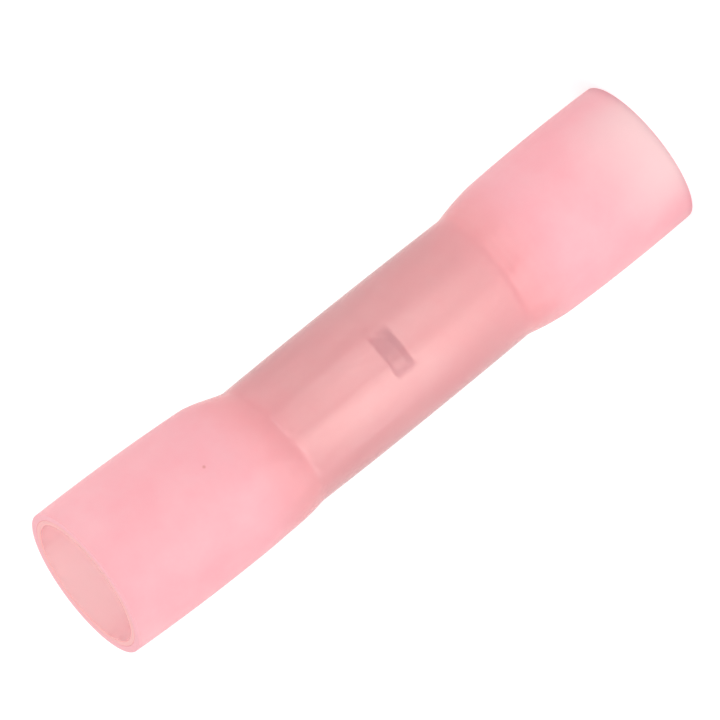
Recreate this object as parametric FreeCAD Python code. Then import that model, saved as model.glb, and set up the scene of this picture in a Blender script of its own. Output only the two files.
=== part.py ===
"""Heat shrink butt connector, standing on one open end.

A tinned copper crimp barrel sits in the middle of a translucent sleeve. The sleeve is a heat shrink
jacket lined with hot melt adhesive. It is shrunk onto the barrel, which makes the neck, and it stays
wide and open at both ends, where the wires go in.

Millimetres. The origin is the centre of the lower mouth, and +Z runs up the connector. The upper end
leans a little towards +X, and the pressed wire stop of the barrel faces -Y.
"""

import FreeCAD
import Part

import math
import os
from collections import namedtuple

# Crimp barrel
barrel_length = 18.5
barrel_outer_diameter = 7.4
barrel_wall = 1.3
barrel_entry_chamfer = 0.35
barrel_edge_chamfer = 0.2

# Wire stop, a pocket punched into the barrel, which draws its bore in and raises a bump there
stop_width = 3.1
stop_length = 1.6
stop_depth = 0.8
stop_corner_radius = 0.5
stop_floor_radius = 0.3
stop_bump_width = 3.6
stop_bump_height = 0.85
stop_bump_skirt = 0.25
stop_bump_corner_radius = 0.3
stop_waist = 0.15

# Walls at the mouths, where the sleeve is free
jacket_wall = 0.50
lining_wall = 0.37

# Walls over the barrel, where the sleeve is shrunk and the neck has a slight belly
shrunk_lining_wall = 0.45
shrunk_jacket_wall_lower = 0.55
shrunk_jacket_wall_middle = 0.65
shrunk_jacket_wall_upper = 0.605

# Lower end of the sleeve, from its mouth to the barrel
lower_end_length = 13.5
lower_shoulder_length = 3.0
lower_bore_diameter = 8.80
lower_crown_rise = 0.08
lower_root_drop = 0.045

# Upper end of the sleeve, from the barrel to its mouth
upper_end_length = 15.5
upper_shoulder_length = 3.7
upper_bore_diameter = 9.17
upper_crown_rise = 0.06
upper_root_drop = 0.115

# How far up its own tube each crown lies, where the tube is widest
lower_crown_share = 0.44
upper_crown_share = 0.63

# How far the hand-placed upper end is out of true
upper_root_offset = 0.30
upper_lean_degrees = 2.1
upper_corner_slant_degrees = -4.6

# Share of its rise that a shoulder has won half way up, so it is a little fuller than a cone
shoulder_fullness = 0.62

# The neck runs on under the slanted corner, and the shoulder starts a little under the neck's skin
neck_reach = 0.6
corner_sink = 0.04
corner_drop = 0.15

# Where each stretch begins and ends
barrel_base = lower_end_length
barrel_top = barrel_base + barrel_length
lower_root_height = lower_end_length - lower_shoulder_length
upper_root_height = barrel_top + upper_shoulder_length
upper_rise = upper_end_length - upper_shoulder_length
upper_run = upper_rise / math.cos(math.radians(upper_lean_degrees))

# Radii of the hollow space, then of the surface between lining and jacket, then of the outer skin
barrel_outer_radius = barrel_outer_diameter / 2
barrel_bore_radius = barrel_outer_radius - barrel_wall
lower_bore_radius = lower_bore_diameter / 2
upper_bore_radius = upper_bore_diameter / 2
lower_lining_radius = lower_bore_radius + lining_wall
upper_lining_radius = upper_bore_radius + lining_wall
neck_lining_radius = barrel_outer_radius + shrunk_lining_wall
lower_mouth_radius = lower_lining_radius + jacket_wall
upper_mouth_radius = upper_lining_radius + jacket_wall
lower_root_radius = lower_mouth_radius - lower_root_drop
upper_root_radius = upper_mouth_radius - upper_root_drop
neck_lower_radius = neck_lining_radius + shrunk_jacket_wall_lower
neck_middle_radius = neck_lining_radius + shrunk_jacket_wall_middle
neck_upper_radius = neck_lining_radius + shrunk_jacket_wall_upper

UP = FreeCAD.Vector(0, 0, 1)

# A round section of the sleeve: its height, its centre's place along X, its tilt about Y and its radius
Ring = namedtuple("Ring", "height offset tilt radius")


def ring_wire(ring):
    """Closed circular wire of one round section."""
    placement = FreeCAD.Placement(
        FreeCAD.Vector(ring.offset, 0, ring.height),
        FreeCAD.Rotation(FreeCAD.Vector(0, 1, 0), ring.tilt),
    )
    wire = Part.Wire([Part.makeCircle(ring.radius)])
    wire.Placement = placement
    return wire


def lofted(rings):
    """Solid with a smooth skin through round sections that follow each other up the connector."""
    return Part.makeLoft([ring_wire(ring) for ring in rings], True)


def between(start, end, share):
    """Value at a share of the way from start to end."""
    return start + (end - start) * share


def halfway_up_shoulder(neck_radius, root_radius):
    """Radius of a shoulder half way between the neck and the root of its end tube."""
    return between(neck_radius, root_radius, shoulder_fullness)


def upper_root_ring(radius):
    """Section at the root of the upper end tube, square to its leaning axis."""
    return Ring(upper_root_height, upper_root_offset, upper_lean_degrees, radius)


def on_upper_end(shape):
    """Move a shape built on +Z from the origin to the leaning axis of the upper end tube."""
    shape.Placement = FreeCAD.Placement(
        FreeCAD.Vector(upper_root_offset, 0, upper_root_height),
        FreeCAD.Rotation(FreeCAD.Vector(0, 1, 0), upper_lean_degrees),
    )
    return shape


def spun(arcs):
    """Solid of revolution on +Z inside a chain of arcs, each given by three (radius, height) points."""
    points = [[FreeCAD.Vector(radius, 0, height) for radius, height in arc] for arc in arcs]
    start = points[0][0]
    end = points[-1][-1]
    axis_start = UP * start.z
    axis_end = UP * end.z
    side = [Part.Arc(*arc).toShape() for arc in points]
    closing = [
        Part.makeLine(end, axis_end),
        Part.makeLine(axis_end, axis_start),
        Part.makeLine(axis_start, start),
    ]
    return Part.Face(Part.Wire(side + closing)).revolve(axis_start, UP, 360)


def sleeve_skin():
    """Solid of all that lies under the outer skin: both end tubes, both shoulders and the neck."""
    mouth = (lower_mouth_radius, 0)
    crown = (lower_mouth_radius + lower_crown_rise, lower_root_height * lower_crown_share)
    root = (lower_root_radius, lower_root_height)
    shoulder = (
        halfway_up_shoulder(neck_lower_radius, lower_root_radius),
        (lower_root_height + barrel_base) / 2,
    )
    corner = (neck_lower_radius, barrel_base)
    belly = (neck_middle_radius, (barrel_base + barrel_top) / 2)
    neck_top = (neck_upper_radius, barrel_top + neck_reach)
    lower_part = spun([(mouth, crown, root), (root, shoulder, corner), (corner, belly, neck_top)])

    slanted_corner = Ring(
        barrel_top - corner_drop,
        0,
        upper_corner_slant_degrees,
        neck_upper_radius - corner_sink,
    )
    halfway = Ring(
        (barrel_top + upper_root_height) / 2,
        upper_root_offset / 2,
        (upper_corner_slant_degrees + upper_lean_degrees) / 2,
        halfway_up_shoulder(neck_upper_radius, upper_root_radius),
    )
    upper_shoulder = lofted([slanted_corner, halfway, upper_root_ring(upper_root_radius)])
    upper_tube = on_upper_end(
        spun(
            [
                (
                    (upper_root_radius, 0),
                    (upper_mouth_radius + upper_crown_rise, upper_run * upper_crown_share),
                    (upper_mouth_radius, upper_run),
                )
            ]
        )
    )
    return lower_part.fuse([upper_shoulder, upper_tube])


def sleeve_hollow(lower_radius, neck_radius, upper_radius):
    """Solid inside a straight-walled surface of the sleeve: three bores and two plain funnels."""
    lower_bore = Part.makeCylinder(lower_radius, lower_root_height)
    lower_funnel = Part.makeCone(
        lower_radius, neck_radius, lower_shoulder_length, UP * lower_root_height
    )
    seat = Part.makeCylinder(neck_radius, barrel_length, UP * barrel_base)
    seat_top = Ring(barrel_top, 0, 0, neck_radius)
    upper_funnel = lofted([seat_top, upper_root_ring(upper_radius)])
    upper_bore = on_upper_end(Part.makeCylinder(upper_radius, upper_run))
    return lower_bore.fuse([lower_funnel, seat, upper_funnel, upper_bore])


def lining_outside():
    """Solid inside the surface where the lining ends and the jacket begins."""
    return sleeve_hollow(lower_lining_radius, neck_lining_radius, upper_lining_radius)


def make_heat_shrink_sleeve():
    """The jacket, between its outer skin and the surface where the lining begins."""
    return sleeve_skin().cut(lining_outside())


def make_adhesive_lining():
    """The hot melt layer, between the jacket and the space for the barrel and the wires."""
    space = sleeve_hollow(lower_bore_radius, barrel_outer_radius, upper_bore_radius)
    return lining_outside().cut(space)


def rounded_block(width, depth, height, corner_radius):
    """Block from a face at Y = 0 towards +Y, centred in X and Z, rounded along its four long edges."""
    block = Part.makeBox(width, depth, height, FreeCAD.Vector(-width / 2, 0, -height / 2))
    long_edges = [edge for edge in block.Edges if edge.BoundBox.YLength > depth / 2]
    return block.makeFillet(corner_radius, long_edges)


def make_crimp_barrel():
    """The barrel with its chamfered ends, the punched pocket and the bump that it raises inside."""
    middle = barrel_length / 2
    bump_length = stop_length + 2 * stop_bump_skirt
    lower_half = [
        (barrel_bore_radius, middle - bump_length / 2),
        (barrel_bore_radius, barrel_entry_chamfer),
        (barrel_bore_radius + barrel_entry_chamfer, 0),
        (barrel_outer_radius - barrel_edge_chamfer, 0),
        (barrel_outer_radius, barrel_edge_chamfer),
    ]
    upper_half = [(radius, barrel_length - height) for radius, height in lower_half[::-1]]
    points = [FreeCAD.Vector(radius, 0, height) for radius, height in lower_half + upper_half]
    waist = FreeCAD.Vector(barrel_bore_radius - stop_waist, 0, middle)
    drawn_in = Part.Arc(points[-1], waist, points[0]).toShape()
    outline = Part.Wire(Part.makePolygon(points).Edges + [drawn_in])
    barrel = Part.Face(outline).revolve(FreeCAD.Vector(0, 0, 0), UP, 360)

    # The punch comes from -Y, and its pocket is cut down to the stated depth below the crown
    pocket = rounded_block(stop_width, 2 * stop_depth, stop_length, stop_corner_radius)
    floor_edges = [edge for edge in pocket.Edges if edge.BoundBox.YMin > stop_depth]
    pocket = pocket.makeFillet(stop_floor_radius, floor_edges)
    pocket.translate(FreeCAD.Vector(0, -barrel_outer_radius - stop_depth, middle))

    # The bump grows from half way through the wall, so that it is one with the barrel
    bump_root = (barrel_outer_radius - stop_depth + barrel_bore_radius) / 2
    bump_top = barrel_bore_radius - stop_bump_height
    bump = rounded_block(
        stop_bump_width, bump_root - bump_top, bump_length, stop_bump_corner_radius
    )
    bump.translate(FreeCAD.Vector(0, -bump_root, middle))

    barrel = barrel.fuse(bump).cut(pocket).removeSplitter()
    barrel.translate(UP * barrel_base)
    return barrel


pieces = {
    "heat_shrink_sleeve": make_heat_shrink_sleeve(),
    "adhesive_lining": make_adhesive_lining(),
    "crimp_barrel": make_crimp_barrel(),
}

os.makedirs("parts", exist_ok=True)
for name, shape in pieces.items():
    shape.exportStep("parts/" + name + ".step")
    print(name, "valid", shape.isValid(), "solids", len(shape.Solids), "volume", round(shape.Volume, 2))
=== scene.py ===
"""Heat shrink butt connector: a translucent pink sleeve with a hot melt lining on a tinned barrel.

The connector stands on its lower mouth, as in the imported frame: metres, +Z up the connector, the
upper end leaning a little towards +X, and the pressed wire stop of the barrel facing -Y.
"""

import logging
import math
from dataclasses import dataclass
from enum import Enum, IntEnum
from functools import cached_property

import bpy
import numpy as np
from mathutils import Matrix, Vector

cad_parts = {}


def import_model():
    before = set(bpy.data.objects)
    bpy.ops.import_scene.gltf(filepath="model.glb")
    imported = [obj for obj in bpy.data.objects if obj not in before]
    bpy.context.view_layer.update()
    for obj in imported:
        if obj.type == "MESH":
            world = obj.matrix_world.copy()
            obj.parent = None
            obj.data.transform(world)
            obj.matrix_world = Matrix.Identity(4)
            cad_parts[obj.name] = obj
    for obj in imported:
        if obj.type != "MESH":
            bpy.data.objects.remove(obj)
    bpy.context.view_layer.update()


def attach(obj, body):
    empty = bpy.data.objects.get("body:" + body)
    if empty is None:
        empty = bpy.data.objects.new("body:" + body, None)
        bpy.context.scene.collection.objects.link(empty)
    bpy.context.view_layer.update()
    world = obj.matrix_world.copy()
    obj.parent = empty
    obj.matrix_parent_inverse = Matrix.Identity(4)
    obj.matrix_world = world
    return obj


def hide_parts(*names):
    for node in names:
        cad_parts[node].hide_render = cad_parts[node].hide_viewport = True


log = logging.getLogger("butt_connector")

Object = bpy.types.Object
Material = bpy.types.Material
Socket = bpy.types.NodeSocket
Colour = tuple[float, float, float, float]
Pair = tuple[float, float]
Triple = tuple[float, float, float]

# Places where a share starts, is full, falls off and ends
Stretch = tuple[float, float, float, float]

MM = 0.001
FULL_TURN = 2 * math.pi
PHOTO_PIXELS = 720

# Values that a noise seldom leaves
NOISE_SPAN = (0.3, 0.7)

# Length after which a wave texture repeats at a scale of 1, in metres
WAVE_PERIOD = math.pi / 10

# Points over which the gaps between two edges are added up
GAP_POINTS = 4001


# Numbers and colours


def linear(hex_colour: str) -> Colour:
    """Turn an sRGB hex colour into the linear values that a shader socket takes.

    Each channel is divided by 12.92 near black, and above that follows a power of 2.4.

    Args:
        hex_colour: Colour such as "#F4A6AE".

    Returns:
        Linear red, green and blue, and an alpha of 1.
    """
    channels = [int(hex_colour[i : i + 2], 16) / 255 for i in (1, 3, 5)]
    turned = [c / 12.92 if c <= 0.04045 else ((c + 0.055) / 1.055) ** 2.4 for c in channels]
    return (turned[0], turned[1], turned[2], 1.0)


def smooth_step(values: np.ndarray) -> np.ndarray:
    """Ease from 0 to 1: three times the square less twice the cube of the value, held to 0..1.

    Args:
        values: Places along the way.

    Returns:
        Eased values.
    """
    held = np.clip(values, 0.0, 1.0)
    return held * held * (3 - 2 * held)


def through_three(at: np.ndarray, places: Triple, values: Triple) -> np.ndarray:
    """Quadratic through three points, as the sum of each value times its Lagrange polynomial.

    Args:
        at: Where to evaluate it.
        places: The three places, in rising order.
        values: The value at each place.

    Returns:
        The quadratic at each place asked for.
    """
    (a, b, c), (fa, fb, fc) = places, values
    return (
        fa * (at - b) * (at - c) / ((a - b) * (a - c))
        + fb * (at - a) * (at - c) / ((b - a) * (b - c))
        + fc * (at - a) * (at - b) / ((c - a) * (c - b))
    )


def eased_steps(edges: list[float], fine: float, coarse: float, reach: float) -> np.ndarray:
    """Places along a line that crowd together near the given edges.

    The gap to the next place grows in a straight line from fine, at an edge, to coarse, at a
    distance of reach from it.

    Args:
        edges: Places that are met exactly, in rising order, the first and last being the ends.
        fine: Gap beside an edge.
        coarse: Widest gap.
        reach: Distance over which the gap widens.

    Returns:
        Rising places from the first edge to the last.
    """
    places = [np.array([edges[0]])]
    for start, end in zip(edges[:-1], edges[1:]):
        dense = np.linspace(start, end, GAP_POINTS)
        from_edge = np.minimum(dense - start, end - dense)
        gap = fine + (coarse - fine) * np.clip(from_edge / reach, 0, 1)
        count = np.concatenate([[0.0], np.cumsum(np.diff(dense) / (0.5 * (gap[1:] + gap[:-1])))])
        steps = max(1, int(math.ceil(count[-1])))
        places.append(np.interp(np.linspace(0, count[-1], steps + 1)[1:], count, dense))
    return np.concatenate(places)


# Meshes


def closed_grid(
    name: str, points: np.ndarray, row_slots: np.ndarray, materials: list[Material]
) -> Object:
    """Mesh of a grid that closes on itself both ways, as the skin of a ring does.

    Row i, column j is joined to row i + 1 and column j + 1, the last row to the first and the
    last column to the first, so there is no seam and no open edge.

    Args:
        name: Name of the piece.
        points: Array of rows x columns x 3, in metres. Rows go round the wall's outline and
            columns round the axis, and they are ordered so that the faces point outwards.
        row_slots: Material index of the faces between each row and the next.
        materials: The piece's materials, in the order of those indices.

    Returns:
        The piece, at the origin.
    """
    rows, columns = points.shape[:2]
    numbers = np.arange(rows * columns).reshape(rows, columns)
    right = np.roll(numbers, -1, axis=1)
    above = np.roll(numbers, -1, axis=0)
    corners = np.stack([numbers, right, np.roll(right, -1, axis=0), above], axis=-1).reshape(-1, 4)
    mesh = bpy.data.meshes.new(name)
    mesh.vertices.add(rows * columns)
    mesh.vertices.foreach_set("co", points.astype(np.float32).ravel())
    mesh.loops.add(corners.size)
    mesh.loops.foreach_set("vertex_index", corners.astype(np.int32).ravel())
    mesh.polygons.add(len(corners))
    mesh.polygons.foreach_set("loop_start", np.arange(0, corners.size, 4, dtype=np.int32))
    mesh.polygons.foreach_set("material_index", np.repeat(row_slots, columns).astype(np.int32))
    mesh.update(calc_edges=True)
    mesh.validate()
    mesh.polygons.foreach_set("use_smooth", np.ones(len(corners), dtype=bool))
    for material in materials:
        mesh.materials.append(material)
    piece = bpy.data.objects.new(name, mesh)
    bpy.context.scene.collection.objects.link(piece)
    return piece


# Materials


@dataclass(frozen=True)
class Nodes:
    """Node tree of a material or of the world, with the steps that the finishes share."""

    tree: bpy.types.NodeTree

    def add(self, kind: str, settings: dict[str | int, object] | None = None) -> bpy.types.Node:
        """Add one node, set its properties and input values, and link its inputs.

        Args:
            kind: Blender's name for the node type.
            settings: Values by property name, or by input name or number where it is none. An
                output socket as a value is linked to the input.

        Returns:
            The node.
        """
        node = self.tree.nodes.new(kind)
        for key, value in (settings or {}).items():
            if isinstance(value, Socket):
                self.tree.links.new(value, node.inputs[key])
            elif isinstance(key, str) and hasattr(node, key):
                setattr(node, key, value)
            else:
                node.inputs[key].default_value = value
        return node

    @cached_property
    def place(self) -> Socket:
        """Output with the place on the object, in metres."""
        return self.add("ShaderNodeTexCoord").outputs["Object"]

    @cached_property
    def axes(self) -> bpy.types.NodeOutputs:
        """Outputs with that place's X, Y and Z."""
        return self.add("ShaderNodeSeparateXYZ", {"Vector": self.place}).outputs

    def noise(
        self, size_mm: float, detail: float, roughness: float = 0.5, squeeze: Triple | None = None
    ) -> Socket:
        """Cloudy pattern from 0 to 1.

        Args:
            size_mm: Size of its features.
            detail: How many finer layers it has.
            roughness: Strength of each finer layer, in times that of the one before.
            squeeze: What each axis is multiplied with. Below 1 it draws the pattern out.

        Returns:
            The pattern's output.
        """
        place = self.place
        if squeeze is not None:
            mapping = self.add("ShaderNodeMapping", {"Scale": squeeze, "Vector": place})
            place = mapping.outputs["Vector"]
        settings = {"Scale": per_metre(size_mm), "Detail": detail, "Roughness": roughness}
        return self.add("ShaderNodeTexNoise", {**settings, "Vector": place}).outputs["Fac"]

    def vector(self, operation: str, a: Socket, b: Triple = (0.0, 0.0, 0.0)) -> bpy.types.Node:
        """Node for one step of arithmetic on a place and, where it needs one, a constant."""
        return self.add("ShaderNodeVectorMath", {"operation": operation, 0: a, 1: b})

    def combined(self, operation: str, *values: Socket | float) -> Socket:
        """Result of one step of arithmetic on outputs and numbers, by Blender's name for it."""
        settings = {"operation": operation, **dict(enumerate(values))}
        return self.add("ShaderNodeMath", settings).outputs["Value"]

    def ranged(
        self, value: Socket, results: Pair, span: Pair = (0.0, 1.0)
    ) -> Socket:
        """Output that carries a span of a value over to a range of results, in a straight line."""
        settings = dict(zip(("From Min", "From Max", "To Min", "To Max"), (*span, *results)))
        return self.add("ShaderNodeMapRange", {**settings, "Value": value}).outputs["Result"]

    def rising_share(self, value: Socket, start: float, end: float) -> Socket:
        """Share that eases from 0 to 1 while a value in metres runs between two in millimetres."""
        settings = {"From Min": start * MM, "From Max": end * MM, "Value": value}
        rise = self.add("ShaderNodeMapRange", {"interpolation_type": "SMOOTHSTEP", **settings})
        return rise.outputs["Result"]

    def share_between(self, value: Socket, places: Stretch) -> Socket:
        """Share that is 1 over a stretch and eases to 0 beyond both its ends.

        Args:
            value: Output that is compared with the places, in metres.
            places: The stretch, in millimetres.

        Returns:
            The share's output.
        """
        start, full, falls, end = places
        rise = self.rising_share(value, start, full)
        return self.combined("MULTIPLY", rise, self.rising_share(value, end, falls))

    def mixed(
        self, share: Socket, first: Socket | Colour, second: Colour, blend: str = "MIX"
    ) -> Socket:
        """Mix of two colours, by the share of the second and Blender's name for the blend."""
        settings = {"data_type": "RGBA", "blend_type": blend, 0: share, 6: first, 7: second}
        return self.add("ShaderNodeMix", settings).outputs[2]

    def raised(
        self, relief: Socket, height_mm: float, strength: float, under: Socket | None = None
    ) -> Socket:
        """Normal of a surface with a relief.

        Args:
            relief: Output with the relief.
            height_mm: Its height in millimetres where the output is 1.
            strength: Share of it that shows.
            under: Output with the normal of a coarser relief that this one lies on.

        Returns:
            The normal's output.
        """
        settings = {"Height": relief, "Distance": height_mm * MM, "Strength": strength}
        if under is not None:
            settings["Normal"] = under
        return self.add("ShaderNodeBump", settings).outputs["Normal"]

    def surface(
        self,
        colour: Socket,
        roughness: Socket,
        normal: Socket,
        others: dict[str, object] | None = None,
    ) -> bpy.types.Node:
        """Shader of a surface, with its other values by input name."""
        settings = {"Base Color": colour, "Roughness": roughness, "Normal": normal}
        return self.add("ShaderNodeBsdfPrincipled", {**settings, **(others or {})})

    def cloudy(self, plastic: bpy.types.Node, colour: Socket, glow_through: float) -> Socket:
        """Shader of a plastic surface that lets a share of the light through, scattered."""
        scattered = self.add("ShaderNodeBsdfTranslucent", {"Color": colour})
        return self.layered(glow_through, plastic.outputs["BSDF"], scattered.outputs["BSDF"])

    def layered(self, share: Socket | float, first: Socket, second: Socket) -> Socket:
        """Output of the shader that mixes two, by the share of the second."""
        return self.add("ShaderNodeMixShader", {0: share, 1: first, 2: second}).outputs["Shader"]

    def show(self, shader: Socket) -> None:
        """Make a shader's output that of the material."""
        self.add("ShaderNodeOutputMaterial", {"Surface": shader})


def new_material(name: str) -> tuple[Material, Nodes]:
    """Empty node material and its node tree."""
    material = bpy.data.materials.new(name)
    material.use_nodes = True
    material.node_tree.nodes.clear()
    return material, Nodes(material.node_tree)


def per_metre(size_mm: float) -> float:
    """Scale of a pattern on Object coordinates whose features have the given size."""
    return 1.0 / (size_mm * MM)


@dataclass(frozen=True)
class IrradiatedPolyolefin:
    """Expanded heat shrink tube: cross-linked polyolefin, extruded, tinted pink and see-through.

    The eye gets a waxy, slightly cloudy skin with a broad, weak gloss. Light passes the wall, so
    it glows over white and darkens over metal. Where the tube is shrunk its wall is thicker, its
    pink deeper and its skin glossier, and where it lies tight on the barrel it is clearer, as
    cloudy plastic shows best what it touches. The front of the lower mouth has painted light: a
    lighter colour that stands in for light shining through the wall near the open end.

    Attributes:
        tint: Colour of the palest clouds, as deep_tint is of the deepest.
        shrunk_tint: What the shrunk part multiplies both with.
        mouth_painted_glow_tint: Painted light: lighter colour at the front of the lower mouth.
        clear_tint: Colour of the light that passes unscattered.
        clear: Share of the surface that light passes unscattered.
        clear_pressed: The same share where the tube lies tight on the barrel.
        glow_through: Share of the rest that light passes scattered.
        shrunk: Heights in millimetres where the deeper pink starts, is full, falls off and ends.
        pressed: The same four heights for the clearer stretch.
        wrinkled: The same four heights for the fine rings that shrinking left on the shoulder.
        painted_glow_reach: Height above the lower mouth at which the painted glow starts.
        painted_glow_side: Places along Y between which the painted glow comes on, towards the
            front.
        speck_place: Where a speck of dirt lies in the skin, in millimetres.
        speck_radii: Where the speck is full and where it ends, from its middle.
        roughness: Least and most roughness of the skin.
        shrunk_coat: Weight of the gloss on the shrunk part.
        streak_squeeze: How extrusion drew the streaks out along the tube.
        wrinkle_depth: Depth of the rings, in times that of the grain.
    """

    name: str = "polyolefin_extruded_pink"
    tint: str = "#FECBD6"
    deep_tint: str = "#FDBBC9"
    shrunk_tint: str = "#F8D9D6"
    # Painted light: lighter colour at the front of the lower mouth, for light through the wall
    mouth_painted_glow_tint: str = "#FEEAED"
    clear_tint: str = "#FCECE6"
    clear: float = 0.34
    clear_pressed: float = 0.42
    clear_roughness: float = 0.44
    glow_through: float = 0.30
    shrunk: Stretch = (9.2, 13.8, 32.0, 37.0)
    pressed: Stretch = (13.0, 17.5, 28.5, 33.0)
    wrinkled: Stretch = (10.8, 11.8, 13.0, 13.8)
    # Reach of the painted glow at the lower mouth
    painted_glow_reach: float = 7.0
    painted_glow_side: Pair = (-2.6, -5.2)
    speck_place: Triple = (1.79, -5.22, 37.9)
    speck_radii: Pair = (0.04, 0.17)
    speck_tint: str = "#DB9094"
    roughness: Pair = (0.33, 0.45)
    shrunk_coat: float = 1.0
    coat_roughness: float = 0.15
    ior: float = 1.5
    cloud_mm: float = 4.0
    streak_mm: float = 0.9
    streak_squeeze: Triple = (1.0, 1.0, 0.12)
    grain_mm: float = 0.35
    bump_mm: float = 0.012
    wrinkle_mm: float = 0.8
    wrinkle_depth: float = 5.0

    def build(self) -> Material:
        """Make the material.

        Returns:
            A skin that is part dull pink plastic and part cloudy pink glass.
        """
        material, nodes = new_material(self.name)
        shrunk = nodes.share_between(nodes.axes["Z"], self.shrunk)
        pressed = nodes.share_between(nodes.axes["Z"], self.pressed)
        colour = self.colour(nodes, shrunk)
        streaks = nodes.noise(
            self.streak_mm, detail=2.0, roughness=0.55, squeeze=self.streak_squeeze
        )
        grain = nodes.combined("ADD", nodes.noise(self.grain_mm, detail=2.0), streaks)
        relief = nodes.combined("MULTIPLY_ADD", self.rings(nodes), self.wrinkle_depth, grain)
        coat = nodes.combined("MULTIPLY", shrunk, self.shrunk_coat)
        plastic = nodes.surface(
            colour,
            nodes.ranged(streaks, self.roughness, NOISE_SPAN),
            nodes.raised(relief, self.bump_mm, strength=0.6),
            {"IOR": self.ior, "Coat Weight": coat, "Coat Roughness": self.coat_roughness},
        )
        blurred = {"Color": linear(self.clear_tint), "Roughness": self.clear_roughness}
        bending = nodes.add("ShaderNodeBsdfGlass", {**blurred, "IOR": self.ior})
        hazy = nodes.cloudy(plastic, colour, self.glow_through)
        clear_share = nodes.ranged(pressed, (self.clear, self.clear_pressed))
        nodes.show(nodes.layered(clear_share, hazy, bending.outputs["BSDF"]))
        return material

    def colour(self, nodes: Nodes, shrunk: Socket) -> Socket:
        """Clouds of pink with a painted glow at the lower mouth, deeper where the tube is shrunk.

        Args:
            nodes: The material's nodes.
            shrunk: Output with the share of the deeper pink.

        Returns:
            The colour's output, with the speck in it.
        """
        clouds = nodes.noise(self.cloud_mm, detail=5.0, roughness=0.65)
        blotches = nodes.ranged(clouds, (0.0, 1.0), NOISE_SPAN)
        # Painted light: the front of the lower mouth is lightened, for light shining through the
        # wall
        painted_glow_share = nodes.combined(
            "MULTIPLY",
            nodes.rising_share(nodes.axes["Z"], self.painted_glow_reach, 0.0),
            nodes.rising_share(nodes.axes["Y"], *self.painted_glow_side),
        )
        mottled = nodes.mixed(blotches, linear(self.deep_tint), linear(self.tint))
        with_painted_glow = nodes.mixed(painted_glow_share, mottled, linear(self.mouth_painted_glow_tint))
        deeper = nodes.mixed(shrunk, with_painted_glow, linear(self.shrunk_tint), "MULTIPLY")
        middle = tuple(part * MM for part in self.speck_place)
        from_speck = nodes.vector("DISTANCE", nodes.place, middle).outputs["Value"]
        full, end = self.speck_radii
        speck = nodes.rising_share(from_speck, end, full)
        return nodes.mixed(speck, deeper, linear(self.speck_tint))

    def rings(self, nodes: Nodes) -> Socket:
        """Fine rings on the lower shoulder.

        Args:
            nodes: The material's nodes.

        Returns:
            Output with their relief.
        """
        settings = {
            "bands_direction": "Z",
            "Scale": per_metre(self.wrinkle_mm) * WAVE_PERIOD,
            "Distortion": 4.0,
            "Detail": 2.0,
            "Detail Scale": 0.6,
            "Vector": nodes.place,
        }
        wave = nodes.add("ShaderNodeTexWave", settings)
        on_shoulder = nodes.share_between(nodes.axes["Z"], self.wrinkled)
        return nodes.combined("MULTIPLY", on_shoulder, wave.outputs["Fac"])


@dataclass(frozen=True)
class HotMelt:
    """Hot melt adhesive, extruded as a thin inner layer and left unmelted.

    The eye gets a cloudy cream to pink film, duller than the jacket, with soft flow marks. The
    attributes mean what they mean for the jacket.
    """

    name: str = "hot_melt_adhesive_extruded_cream"
    tint: str = "#FEF8F7"
    deep_tint: str = "#FDF2F0"
    clear_tint: str = "#FFF6F5"
    clear: float = 0.55
    glow_through: float = 0.5
    roughness: Pair = (0.42, 0.58)
    ior: float = 1.48
    cloud_mm: float = 3.2
    flow_mm: float = 0.7
    bump_mm: float = 0.02

    def build(self) -> Material:
        """Make the material.

        Returns:
            A film that is part dull cream plastic and part clear filter.
        """
        material, nodes = new_material(self.name)
        clouds = nodes.noise(self.cloud_mm, detail=3.0)
        flow = nodes.noise(self.flow_mm, detail=2.0)
        colour = nodes.mixed(clouds, linear(self.deep_tint), linear(self.tint))
        film = nodes.surface(
            colour,
            nodes.ranged(flow, self.roughness),
            nodes.raised(flow, self.bump_mm, strength=0.5),
            {"IOR": self.ior},
        )
        passing = nodes.add("ShaderNodeBsdfTransparent", {"Color": linear(self.clear_tint)})
        hazy = nodes.cloudy(film, colour, self.glow_through)
        nodes.show(nodes.layered(self.clear, hazy, passing.outputs["BSDF"]))
        return material


@dataclass(frozen=True)
class CutFace:
    """Face left by the knife that cut the tube to length.

    The eye gets a duller and less clear band than the skin, with fine knife lines, whose colour
    is that of the cut times line_shade.
    """

    name: str
    tint: str
    line_shade: float = 0.93
    glow_through: float = 0.15
    roughness: Pair = (0.5, 0.7)
    knife_line_mm: float = 0.08
    line_squeeze: Triple = (1.0, 0.15, 1.0)
    bump_mm: float = 0.008

    def build(self) -> Material:
        """Make the material.

        Returns:
            A dull, cloudy surface.
        """
        material, nodes = new_material(self.name)
        lines = nodes.noise(self.knife_line_mm, detail=1.0, squeeze=self.line_squeeze)
        shade = linear(self.tint)
        worn = tuple(channel * self.line_shade for channel in shade[:3]) + (1.0,)
        colour = nodes.mixed(lines, worn, shade)
        cut = nodes.surface(
            colour,
            nodes.ranged(lines, self.roughness),
            nodes.raised(lines, self.bump_mm, strength=0.5),
        )
        nodes.show(nodes.cloudy(cut, colour, self.glow_through))
        return material


@dataclass(frozen=True)
class BondedSurface:
    """Where one layer of plastic lies on the next without an air gap, so that nothing shows."""

    name: str = "bonded_layers_unseen"

    def build(self) -> Material:
        """Make the material.

        Returns:
            A clear surface that light passes unchanged.
        """
        material, nodes = new_material(self.name)
        nodes.show(nodes.add("ShaderNodeBsdfTransparent").outputs["BSDF"])
        return material


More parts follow.
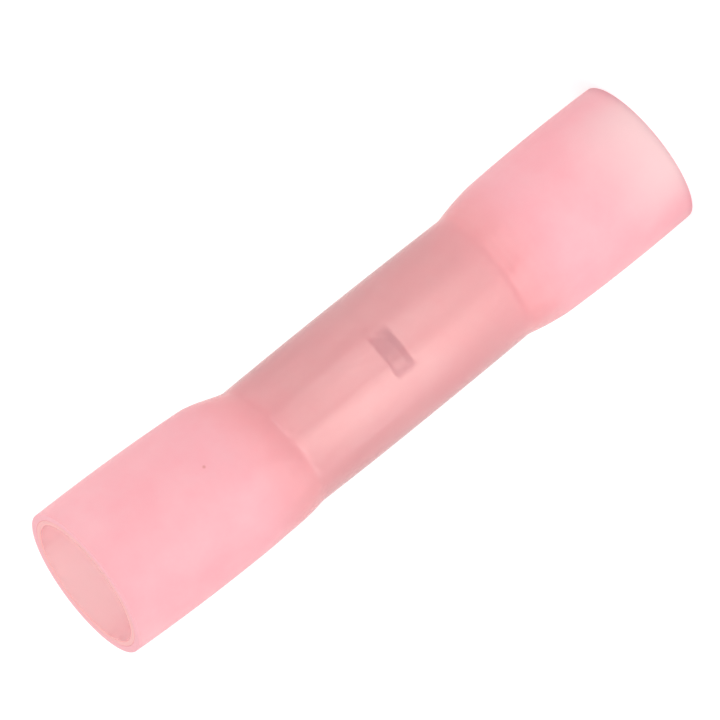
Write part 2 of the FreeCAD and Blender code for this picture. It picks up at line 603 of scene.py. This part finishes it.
@dataclass(frozen=True)
class TinnedCopper:
    """Electroplated tin on a cut and pressed copper tube.

    The eye gets a soft grey metal sheen with fine lines round the barrel from its tool, broken up
    into long patches by slight dents. The floor of the pressed stop has painted shade: a darker
    colour, strongest on its +X side and fading towards the other.

    Attributes:
        in_wall: Distances from the axis in millimetres where the painted shade starts, is full,
        falls off and ends. Between the bore and the outside only the stop and the ends face out.
        painted_shade_reach: Places along X in millimetres where the painted shade comes on.
    """

    name: str = "copper_barrel_tin_plated"
    tin: str = "#E3E3E1"
    worn_tin: str = "#D2D2D0"
    # Painted shade: dark colour on the floor of the stop, for the shade in the recess
    painted_stop_shade: str = "#776A69"
    roughness: Pair = (0.14, 0.32)
    tool_line_mm: float = 0.12
    line_squeeze: Triple = (0.05, 0.05, 1.0)
    bump_mm: float = 0.006
    patch_mm: float = 2.5
    dent_squeeze: Triple = (1.0, 1.0, 0.35)
    dent_mm: float = 0.05
    # Where the painted shade in the stop lies
    in_wall: Stretch = (2.62, 2.72, 2.95, 3.4)
    painted_shade_reach: Pair = (-1.9, 0.7)

    def build(self) -> Material:
        """Make the material.

        Returns:
            A satin metal.
        """
        material, nodes = new_material(self.name)
        patches = nodes.noise(self.patch_mm, detail=3.0)
        plated = nodes.mixed(patches, linear(self.worn_tin), linear(self.tin))
        # Painted shade: the floor of the stop is darkened, strongest towards +X
        colour = nodes.mixed(self.painted_shade(nodes), plated, linear(self.painted_stop_shade))
        tool_lines = nodes.noise(self.tool_line_mm, detail=1.0, squeeze=self.line_squeeze)
        dents = nodes.noise(self.patch_mm, detail=1.0, squeeze=self.dent_squeeze)
        dented = nodes.raised(dents, self.dent_mm, strength=1.0)
        metal = nodes.surface(
            colour,
            nodes.ranged(patches, self.roughness),
            nodes.raised(tool_lines, self.bump_mm, strength=0.5, under=dented),
            {"Metallic": 1.0},
        )
        nodes.show(metal.outputs["BSDF"])
        return material

    def painted_shade(self, nodes: Nodes) -> Socket:
        """Painted shade on the floor of the stop, strongest towards +X.

        Args:
            nodes: The material's nodes.

        Returns:
            Output with its share.
        """
        flat = nodes.vector("MULTIPLY", nodes.place, (1.0, 1.0, 0.0)).outputs["Vector"]
        from_axis = nodes.vector("LENGTH", flat).outputs["Value"]
        in_wall = nodes.share_between(from_axis, self.in_wall)
        beside = nodes.rising_share(nodes.axes["X"], *self.painted_shade_reach)
        return nodes.combined("MULTIPLY", in_wall, beside)


# Sleeve


class Slot(IntEnum):
    """Material slots of a layer of the sleeve."""

    FREE = 0
    CUT = 1
    BONDED = 2


@dataclass(frozen=True)
class Stations:
    """Round sections of one surface of the sleeve, from the lower mouth to the upper one.

    Each has the height of its centre, that centre's offset along X and a radius, in millimetres,
    and a tilt about Y, in radians.
    """

    height: np.ndarray
    offset: np.ndarray
    tilt: np.ndarray
    radius: np.ndarray

    def points(self, angles: np.ndarray) -> np.ndarray:
        """Place every section's circle in space.

        A point is the centre, plus the radius times the cosine of its angle along the tilted X
        direction, plus the radius times its sine along Y.

        Args:
            angles: Angles round the axis, in radians.

        Returns:
            Array of sections x angles x 3, in metres.
        """
        across = self.radius[:, None] * np.cos(angles)[None, :]
        x = self.offset[:, None] + across * np.cos(self.tilt)[:, None]
        y = self.radius[:, None] * np.sin(angles)[None, :]
        z = self.height[:, None] - across * np.sin(self.tilt)[:, None]
        return np.stack([x, y, z], axis=-1) * MM


@dataclass(frozen=True)
class SleeveForm:
    """Sizes of the sleeve, in millimetres and degrees, and the form of each of its surfaces.

    Each skin has three radii in rising order of height. Each root is where an end tube meets its
    shoulder, and each crown is where a tube is widest. The fullness is the share of its rise that a
    shoulder has won half way up. The slant of the neck's upper corner comes on over slant_run, and
    corners are rounded over corner_round by a bell that reaches bell_reach times as far. A step is
    the widest gap between sections of a surface. At a corner the gap is fine_step, and it widens
    over step_reach.
    """

    length: float = 47.5
    lower_root: float = 10.5
    neck_base: float = 13.5
    neck_top: float = 32.0
    upper_root: float = 35.7
    lower_bore: float = 4.4
    upper_bore: float = 4.585
    barrel: float = 3.7
    lining_wall: float = 0.37
    shrunk_lining_wall: float = 0.45
    lower_skin: Triple = (5.27, 5.35, 5.225)
    lower_crown: float = 4.62
    neck_skin: Triple = (4.70, 4.80, 4.757)
    upper_skin: Triple = (5.34, 5.515, 5.455)
    upper_crown_share: float = 0.63
    upper_root_offset: float = 0.30
    upper_lean: float = 2.1
    corner_slant: float = -4.6
    slant_run: float = 7.0
    fullness: float = 0.62
    corner_round: float = 0.16
    bell_reach: float = 2.5
    bell_points: int = 21
    skin_step: float = 0.28
    wall_step: float = 0.4
    bonded_step: float = 0.9
    fine_step: float = 0.07
    step_reach: float = 1.5

    def centre_line(self, height: np.ndarray) -> tuple[np.ndarray, np.ndarray]:
        """Offset and tilt of the sections.

        Below the neck's top the centre stays on the axis, and the tilt eases to the slant of the
        neck's upper corner. Over the shoulder the offset eases to that of the root and the tilt
        runs straight to the lean. Above it the centre follows the leaning line.

        Args:
            height: Heights along the sleeve.

        Returns:
            Offsets in millimetres and tilts in radians.
        """
        over = (height - self.neck_top) / (self.upper_root - self.neck_top)
        slope = math.tan(math.radians(self.upper_lean))
        leaning = self.upper_root_offset + (height - self.upper_root) * slope
        offset = np.where(over < 1, self.upper_root_offset * smooth_step(over), leaning)
        slant_start = self.neck_top - self.slant_run
        to_slant = self.corner_slant * smooth_step((height - slant_start) / self.slant_run)
        to_lean = self.corner_slant + (self.upper_lean - self.corner_slant) * np.clip(over, 0, 1)
        return offset, np.radians(np.where(over < 0, to_slant, to_lean))

    def lining_outside(self) -> Triple:
        """Radii of the surface between lining and jacket: lower tube, neck and upper tube."""
        return (
            self.lower_bore + self.lining_wall,
            self.barrel + self.shrunk_lining_wall,
            self.upper_bore + self.lining_wall,
        )

    def pieced(self, height: np.ndarray, ends: Triple | None) -> np.ndarray:
        """Radius from straight pieces, or from arcs where the surface is the outer skin.

        Args:
            height: Heights along the sleeve.
            ends: Radii of a straight-walled surface in the lower tube, the neck and the upper
                tube, or None for the outer skin.

        Returns:
            Radii before any corner is rounded.
        """
        if ends is not None:
            marks = [0, self.lower_root, self.neck_base, self.neck_top, self.upper_root]
            lower, neck, upper = ends
            return np.interp(height, marks, [lower, lower, neck, neck, upper])
        root = self.lower_skin[-1]
        base, _, top = self.neck_skin
        upper_root = self.upper_skin[0]
        lower_shoulder = (root, base + (root - base) * self.fullness, base)
        upper_shoulder = (top, top + (upper_root - top) * self.fullness, upper_root)
        upper_rise = self.length - self.upper_root
        arcs = [
            (0, self.lower_crown, self.lower_root, self.lower_skin),
            (self.lower_root, None, self.neck_base, lower_shoulder),
            (self.neck_base, None, self.neck_top, self.neck_skin),
            (self.neck_top, None, self.upper_root, upper_shoulder),
            (
                self.upper_root,
                self.upper_root + upper_rise * self.upper_crown_share,
                self.length,
                self.upper_skin,
            ),
        ]
        radii = []
        for start, crown, end, through in arcs:
            middle = (start + end) / 2 if crown is None else crown
            radii.append(through_three(height, (start, middle, end), through))
        below = [height < end for _, _, end, _ in arcs[:-1]]
        return np.select(below, radii[:-1], radii[-1])

    def stations(self, height: np.ndarray, ends: Triple | None = None) -> Stations:
        """Sections of one surface at the given heights.

        Its corners are rounded, as each radius is an average over a short bell-shaped stretch.

        Args:
            height: Heights along the sleeve.
            ends: As in pieced.

        Returns:
            The sections.
        """
        spread = np.linspace(-self.bell_reach, self.bell_reach, self.bell_points)
        weight = np.exp(-0.5 * spread**2)
        around = height[:, None] + spread[None, :] * self.corner_round
        held = np.clip(around, 0, self.length)
        radius = (self.pieced(held, ends) * weight).sum(axis=1) / weight.sum()
        return Stations(height, *self.centre_line(height), radius)

    def heights(self, coarse: float) -> np.ndarray:
        """Heights from mouth to mouth that crowd at the mouths and at both shoulders."""
        edges = [0, self.lower_root, self.neck_base, self.neck_top, self.upper_root, self.length]
        return eased_steps(edges, self.fine_step, coarse, self.step_reach)


@dataclass
class WallShell:
    """A tube-shaped layer of the sleeve: its outer surface, two cut rims and its inner surface.

    Attributes:
        slot: The record's material slot. It is not used.
        cut_round: Radius of the edges of the cut rims, in millimetres.
        columns: Points round the axis.
        rim_points: Points over each rounded edge of a rim, and over the flat between them.
    """

    name: str
    slot: str
    form: SleeveForm = SleeveForm()
    cut_round: float = 0.05
    columns: int = 224
    rim_points: int = 5

    def assemble(
        self,
        outer: Stations,
        inner: Stations,
        slots: tuple[Slot | np.ndarray, Slot | np.ndarray],
        materials: list[Material],
    ) -> Object:
        """Join an outer and an inner surface over the two rims into one closed shell.

        At each mouth the outline turns from one surface to the other over two quarter circles of
        the cut's edge radius, with the flat rim between them.

        Args:
            outer: Sections of the outer surface, from the lower mouth up.
            inner: Sections of the inner surface, from the lower mouth up.
            slots: Material slots of the outer and the inner surface, each one for all of it or
                an array of those above each section.
            materials: The piece's materials.

        Returns:
            The piece, dressed and riding on the frame.
        """
        angles = np.linspace(0, FULL_TURN, self.columns, endpoint=False)
        outer_points = outer.points(angles)[1:-1]
        inner_points = inner.points(angles)[1:-1][::-1]
        top_points = self.rim(outer, inner, -1).points(angles)
        bottom_points = self.rim(outer, inner, 0).points(angles)[::-1]
        points = np.concatenate([outer_points, top_points, inner_points, bottom_points])
        outer_slots = np.broadcast_to(slots[0], outer.height.shape)
        inner_slots = np.broadcast_to(slots[1], inner.height.shape)
        rim_slots = np.full(len(top_points) - 1, Slot.CUT)
        row_slots = np.concatenate(
            [outer_slots[1:-1], rim_slots, inner_slots[:-1][::-1], rim_slots, outer_slots[:1]]
        )
        piece = closed_grid(self.name, points, row_slots, materials)
        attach(piece, "root")
        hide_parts(self.name)
        return piece

    def rim(self, outer: Stations, inner: Stations, end: int) -> Stations:
        """Sections over a cut rim, from the outer surface to the inner one.

        Args:
            outer: Sections of the outer surface.
            inner: Sections of the inner surface.
            end: 0 for the lower mouth, -1 for the upper one.

        Returns:
            Sections at the mouth's own tilt, its height a little under the plane of the cut
            where the edge is round.
        """
        turn = np.linspace(0, math.pi / 2, self.rim_points)
        outer_edge = outer.radius[end] - self.cut_round * (1 - np.cos(turn))
        inner_edge = inner.radius[end] + self.cut_round * (1 - np.cos(turn[::-1]))
        between = np.linspace(outer_edge[-1], inner_edge[0], self.rim_points)[1:-1]
        radius = np.concatenate([outer_edge, between, inner_edge])
        sunk = self.cut_round * np.concatenate(
            [1 - np.sin(turn), np.zeros(len(between)), 1 - np.sin(turn[::-1])]
        )
        inward = 1.0 if end == 0 else -1.0
        tilt = outer.tilt[end]
        shape = np.ones_like(radius)
        height = outer.height[end] + inward * sunk * math.cos(tilt)
        offset = outer.offset[end] + inward * sunk * math.sin(tilt)
        return Stations(height, offset * shape, tilt * shape, radius)


@dataclass
class HeatShrinkJacket(WallShell):
    """The pink jacket, which stands for the CAD node of the same name."""

    name: str = "heat_shrink_sleeve"
    slot: str = "pink_heat_shrink"

    def build(self, materials: list[Material]) -> Object:
        """Make the jacket.

        Args:
            materials: The outer skin, the cut rims and the face that lies on the lining.

        Returns:
            The piece.
        """
        form = self.form
        outer = form.stations(form.heights(form.skin_step))
        inner = form.stations(form.heights(form.bonded_step), form.lining_outside())
        return self.assemble(outer, inner, (Slot.FREE, Slot.BONDED), materials)


@dataclass
class AdhesiveLining(WallShell):
    """The hot melt lining, which stands for the CAD node of the same name.

    Attributes:
        seat_clearance: How far its seat stays off the barrel, so that no two faces coincide.
    """

    name: str = "adhesive_lining"
    slot: str = "hot_melt_adhesive"
    seat_clearance: float = 0.01

    def build(self, materials: list[Material]) -> Object:
        """Make the lining.

        Args:
            materials: The inner wall, the cut rims and the faces that lie on another piece.

        Returns:
            The piece.
        """
        form = self.form
        inside = (form.lower_bore, form.barrel + self.seat_clearance, form.upper_bore)
        outer = form.stations(form.heights(form.bonded_step), form.lining_outside())
        inner = form.stations(form.heights(form.wall_step), inside)
        on_barrel = (inner.height >= form.neck_base) & (inner.height < form.neck_top)
        inner_slots = np.where(on_barrel, Slot.BONDED, Slot.FREE)
        return self.assemble(outer, inner, (Slot.BONDED, inner_slots), materials)


# Barrel


@dataclass
class CrimpBarrel:
    """The tinned barrel with its chamfers, its punched stop and the bump that this raises.

    Lengths are in millimetres, angles in radians, and heights are above the barrel's lower end.
    Each margin is how far the finer mesh runs past the stop. A step is the widest gap on a wall.

    Attributes:
        foot: Height of the barrel's lower end in the connector.
        waist: How far the bore is drawn in all round, half way along the bump.
        press_soft: Distance from the outline of stop or bump at which it is full.
        least_cosine: Least cosine that a flat face is divided by, far beside the stop.
        turn_steps: Gap between angles at the stop and at most, and the angle over which it widens.
    """

    name: str = "crimp_barrel"
    slot: str = "tinned_copper"
    foot: float = 13.5
    length: float = 18.5
    outer_radius: float = 3.7
    bore_radius: float = 2.4
    entry_chamfer: float = 0.35
    edge_chamfer: float = 0.2
    stop_width: float = 3.1
    stop_length: float = 1.6
    stop_depth: float = 0.8
    bump_width: float = 3.6
    bump_height: float = 0.85
    bump_length: float = 2.1
    waist: float = 0.15
    press_soft: float = 0.32
    least_cosine: float = 0.5
    stop_margin: float = 0.4
    turn_steps: Triple = (0.02, 0.05, 0.4)
    bump_margin: float = 0.3
    fine_step: float = 0.1
    step_reach: float = 2.0
    skin_step: float = 0.6
    bore_step: float = 0.8
    skin_rows: int = 61
    bore_rows: int = 41

    def pressed(
        self, angle: np.ndarray, height: np.ndarray, width: float, length: float
    ) -> np.ndarray:
        """How far the punch has gone in at each place, from 0 beside the stop to 1 on its floor.

        The share is the product of one soft step across the width and one along the length. Each
        starts at the outline of the stop and is full a little way in.

        Args:
            angle: Angles round the axis from -Y, in radians.
            height: Heights above the barrel's foot.
            width: Width of the stop, round the barrel.
            length: Length of the stop, along the barrel.

        Returns:
            Shares.
        """
        across = np.abs(np.sin(angle)) * self.outer_radius
        along = np.abs(height - self.length / 2)
        front = np.cos(angle) > 0
        over_width = smooth_step((width / 2 - across) / self.press_soft)
        over_length = smooth_step((length / 2 - along) / self.press_soft)
        return over_width * over_length * front

    def flat(self, angle: np.ndarray, distance: float, limit: float) -> np.ndarray:
        """Radius of a flat face across the stop: its distance by the cosine of the angle."""
        return np.minimum(distance / np.maximum(np.cos(angle), self.least_cosine), limit)

    def heights(self, chamfer: float, coarse: float, rows: int) -> np.ndarray:
        """Heights along one wall, which crowd over the stop.

        Args:
            chamfer: Chamfer at both ends of the wall.
            coarse: Widest gap.
            rows: Number of heights over the stop.

        Returns:
            Rising heights.
        """
        middle = self.length / 2
        near = self.bump_length / 2 + self.bump_margin
        edges = [chamfer, middle - near, middle + near, self.length - chamfer]
        over_wall = eased_steps(edges, self.fine_step, coarse, self.step_reach)
        over_stop = np.linspace(middle - near, middle + near, rows)
        return np.unique(np.concatenate([over_wall, over_stop]))

    @cached_property
    def angles(self) -> np.ndarray:
        """Angles of the columns round the axis from -Y, in radians, which crowd over the stop."""
        stop = math.asin((self.stop_width / 2 + self.stop_margin) / self.outer_radius)
        return eased_steps([-math.pi, -stop, stop, math.pi], *self.turn_steps)[:-1]

    def ring(self, radius: float, height: float) -> tuple[np.ndarray, np.ndarray]:
        """One round section of the outline, as an array of radii and one of heights."""
        return np.full((1, len(self.angles)), radius), np.full((1, len(self.angles)), height)

    def skin(self) -> tuple[np.ndarray, np.ndarray]:
        """Outer wall, which falls to the flat floor of the stop.

        Returns:
            Radii and heights, each an array of rows x angles.
        """
        levels = self.heights(self.edge_chamfer, self.skin_step, self.skin_rows)
        turn, level = np.meshgrid(self.angles, levels)
        share = self.pressed(turn, level, self.stop_width, self.stop_length)
        floor = self.flat(turn, self.outer_radius - self.stop_depth, self.outer_radius)
        return self.outer_radius + (floor - self.outer_radius) * share, level

    def bore(self) -> tuple[np.ndarray, np.ndarray]:
        """Inner wall, drawn in over the stop as half a cosine wave, with the flat-topped bump.

        Returns:
            Radii and heights, each an array of rows x angles.
        """
        levels = self.heights(self.entry_chamfer, self.bore_step, self.bore_rows)
        turn, level = np.meshgrid(self.angles, levels)
        draw = np.clip(np.abs(level - self.length / 2) / (self.bump_length / 2), 0, 1)
        waist = self.waist * 0.5 * (1 + np.cos(math.pi * draw))
        reach = self.bump_width * self.outer_radius / self.bore_radius
        share = self.pressed(turn, level, reach, self.bump_length)
        top = self.flat(turn, self.bore_radius - self.bump_height, self.bore_radius)
        bumped = self.bore_radius + (top - self.bore_radius) * share
        return np.minimum(self.bore_radius - waist, bumped), level

    def build(self, metal: Material) -> Object:
        """Make the barrel as one outline carried round the axis, with the stop pressed in.

        Args:
            metal: Material of the barrel.

        Returns:
            The piece.
        """
        lip_out = self.outer_radius - self.edge_chamfer
        lip_in = self.bore_radius + self.entry_chamfer
        bore_radii, bore_heights = self.bore()
        parts = [
            self.skin(),
            self.ring(lip_out, self.length),
            self.ring(lip_in, self.length),
            (bore_radii[::-1], bore_heights[::-1]),
            self.ring(lip_in, 0.0),
            self.ring(lip_out, 0.0),
        ]
        radius = np.concatenate([part[0] for part in parts])
        height = np.concatenate([part[1] for part in parts]) + self.foot
        facing = self.angles[None, :] - math.pi / 2
        points = np.stack([radius * np.cos(facing), radius * np.sin(facing), height], axis=-1) * MM
        piece = closed_grid(self.name, points, np.zeros(len(points), dtype=int), [metal])
        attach(piece, "root")
        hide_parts(self.name)
        return piece


# Studio


class Surroundings(Enum):
    """What a ray that leaves the object meets, as seen or as a source of light."""

    SEEN = "#FFFFFF"
    LIT = "#F8F7F7"


@dataclass(frozen=True)
class SoftBox:
    """Upright area lamp beside the object, facing its axis. Lengths are in millimetres.

    The angle in degrees runs from the camera's side towards -X, and the level is the brightness of
    its face, where 1 is that of a lit white wall.
    """

    name: str
    angle: float
    width: float
    bottom: float
    top: float
    distance: float
    level: float

    def build(self) -> None:
        """Make the lamp, which the camera doesn't see.

        Its power is its level times pi times its area.
        """
        turn = math.radians(self.angle)
        away = Vector((-math.sin(turn), -math.cos(turn), 0.0))
        data = bpy.data.lights.new(self.name, "AREA")
        data.shape = "RECTANGLE"
        data.size = self.width * MM
        data.size_y = (self.top - self.bottom) * MM
        data.energy = self.level * math.pi * data.size * data.size_y
        lamp = bpy.data.objects.new(self.name, data)
        lamp.location = away * self.distance * MM
        lamp.location.z = (self.bottom + self.top) / 2 * MM
        lamp.rotation_mode = "QUATERNION"
        lamp.rotation_quaternion = away.to_track_quat("Z", "Y")
        lamp.visible_camera = False
        bpy.context.scene.collection.objects.link(lamp)


@dataclass
class Studio:
    """Plain white floor, soft world light, soft boxes and the camera of the photo.

    The two tall boxes shade the tubes. The two low strips close by are what the barrel's metal
    mirrors through the clear jacket: a wide bright band and, past a dark gap, a weaker one.

    Light goes to and fro between the cloudy walls, and each of them has surfaces_per_wall clear
    faces. Lengths are in millimetres, angles in degrees, and the clip range is in metres.
    """

    floor_half_width: float = 1500.0
    floor_glow: float = 0.2
    world_level: float = 1.06
    boxes: tuple[SoftBox, ...] = (
        SoftBox("key_soft_box", 42.0, 45.0, 0.0, 100.0, 80.0, 1.0),
        SoftBox("fill_side_box", -82.0, 45.0, 0.0, 100.0, 80.0, 0.5),
        SoftBox("key_low_strip", 52.0, 62.0, 8.0, 19.0, 40.0, 1.75),
        SoftBox("fill_low_strip", -15.5, 33.0, 8.0, 19.0, 40.0, 1.5),
    )
    wall_bounces: int = 12
    surfaces_per_wall: int = 4
    tilt: float = 16.853
    roll: float = 128.857
    lens: float = 1200.0
    sensor_width: float = 36.0
    clip_range: Pair = (0.01, 50.0)
    distance: float = 1556.35
    aim_height: float = 23.75
    aim_pixel: Pair = (366.68, 371.56)

    def build_floor(self) -> None:
        """Make the floor, which the object stands on.

        It is lit as white paper is, and a ray from the camera, from gloss or through glass also
        meets a weak glow, so that it reads as white and keeps the object's shadow.
        """
        half = self.floor_half_width * MM
        mesh = bpy.data.meshes.new("floor")
        corners = [(-half, -half, 0), (half, -half, 0), (half, half, 0), (-half, half, 0)]
        mesh.from_pydata(corners, [], [(0, 1, 2, 3)])
        floor = bpy.data.objects.new("floor", mesh)
        bpy.context.scene.collection.objects.link(floor)
        material, nodes = new_material("paper_matt_white")
        path = nodes.add("ShaderNodeLightPath").outputs
        seen = nodes.combined("MAXIMUM", path["Is Camera Ray"], path["Is Glossy Ray"])
        seen_or_through = nodes.combined("MAXIMUM", seen, path["Is Transmission Ray"])
        glow_level = nodes.combined("MULTIPLY", seen_or_through, self.floor_glow)
        glow = nodes.add("ShaderNodeEmission", {"Strength": glow_level})
        paper = nodes.add("ShaderNodeBsdfDiffuse", {"Color": linear(Surroundings.LIT.value)})
        layers = {0: paper.outputs["BSDF"], 1: glow.outputs["Emission"]}
        nodes.show(nodes.add("ShaderNodeAddShader", layers).outputs["Shader"])
        mesh.materials.append(material)

    def build_world(self) -> None:
        """Light the scene evenly, and show plain white wherever a ray misses the floor."""
        world = bpy.data.worlds.new("studio_white")
        world.use_nodes = True
        nodes = Nodes(world.node_tree)
        nodes.tree.nodes.clear()
        camera_ray = nodes.add("ShaderNodeLightPath").outputs["Is Camera Ray"]
        lit = {"Color": linear(Surroundings.LIT.value), "Strength": self.world_level}
        soft = nodes.add("ShaderNodeBackground", lit).outputs["Background"]
        seen = {"Color": linear(Surroundings.SEEN.value), "Strength": 1.0}
        white = nodes.add("ShaderNodeBackground", seen).outputs["Background"]
        nodes.add("ShaderNodeOutputWorld", {"Surface": nodes.layered(camera_ray, soft, white)})
        bpy.context.scene.world = world

    def build_camera(self) -> None:
        """Set up the camera of the photo: a long lens, looking down a little and rolled.

        The roll lays the standing object across the frame as the photo shows it.
        """
        tilt = math.radians(self.tilt)
        roll = math.radians(self.roll)
        ahead = Vector((0.0, math.cos(tilt), -math.sin(tilt)))
        side = Vector((1.0, 0.0, 0.0))
        up = Vector((0.0, math.sin(tilt), math.cos(tilt)))
        right = side * math.cos(roll) - up * math.sin(roll)
        above = side * math.sin(roll) + up * math.cos(roll)
        data = bpy.data.cameras.new("photo_camera")
        data.lens = self.lens
        data.sensor_width = self.sensor_width
        data.clip_start, data.clip_end = self.clip_range
        pixel = self.distance * MM / (self.lens / data.sensor_width * PHOTO_PIXELS)
        middle = PHOTO_PIXELS / 2
        aim = Vector((0.0, 0.0, self.aim_height * MM))
        place = aim - ahead * self.distance * MM
        place -= right * (self.aim_pixel[0] - middle) * pixel
        place += above * (self.aim_pixel[1] - middle) * pixel
        camera = bpy.data.objects.new("photo_camera", data)
        turn = Matrix((right, above, -ahead)).transposed()
        camera.matrix_world = Matrix.Translation(place) @ turn.to_4x4()
        bpy.context.scene.collection.objects.link(camera)
        bpy.context.scene.camera = camera

    def build(self) -> None:
        """Make the floor, the light and the camera, and set the plain view transform."""
        self.build_floor()
        self.build_world()
        for box in self.boxes:
            box.build()
        self.build_camera()
        scene = bpy.context.scene
        scene.view_settings.view_transform = "Standard"
        scene.cycles.max_bounces = self.wall_bounces
        scene.cycles.diffuse_bounces = self.wall_bounces
        scene.cycles.transmission_bounces = self.wall_bounces
        scene.cycles.transparent_max_bounces = self.wall_bounces * self.surfaces_per_wall


def main() -> None:
    """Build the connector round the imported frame, then the studio."""
    logging.basicConfig(level=logging.INFO, format="%(message)s")
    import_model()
    form = SleeveForm()
    bonded = BondedSurface().build()
    pink_cut = CutFace("polyolefin_knife_cut_pink", "#FEC0C8").build()
    cream_cut = CutFace("hot_melt_adhesive_knife_cut", "#FEC3C2").build()
    pieces = [
        HeatShrinkJacket(form=form).build([IrradiatedPolyolefin().build(), pink_cut, bonded]),
        AdhesiveLining(form=form).build([HotMelt().build(), cream_cut, bonded]),
        CrimpBarrel().build(TinnedCopper().build()),
    ]
    for piece in pieces:
        log.info("%s: %d faces", piece.name, len(piece.data.polygons))
    Studio().build()


if __name__ == "__main__":
    main()
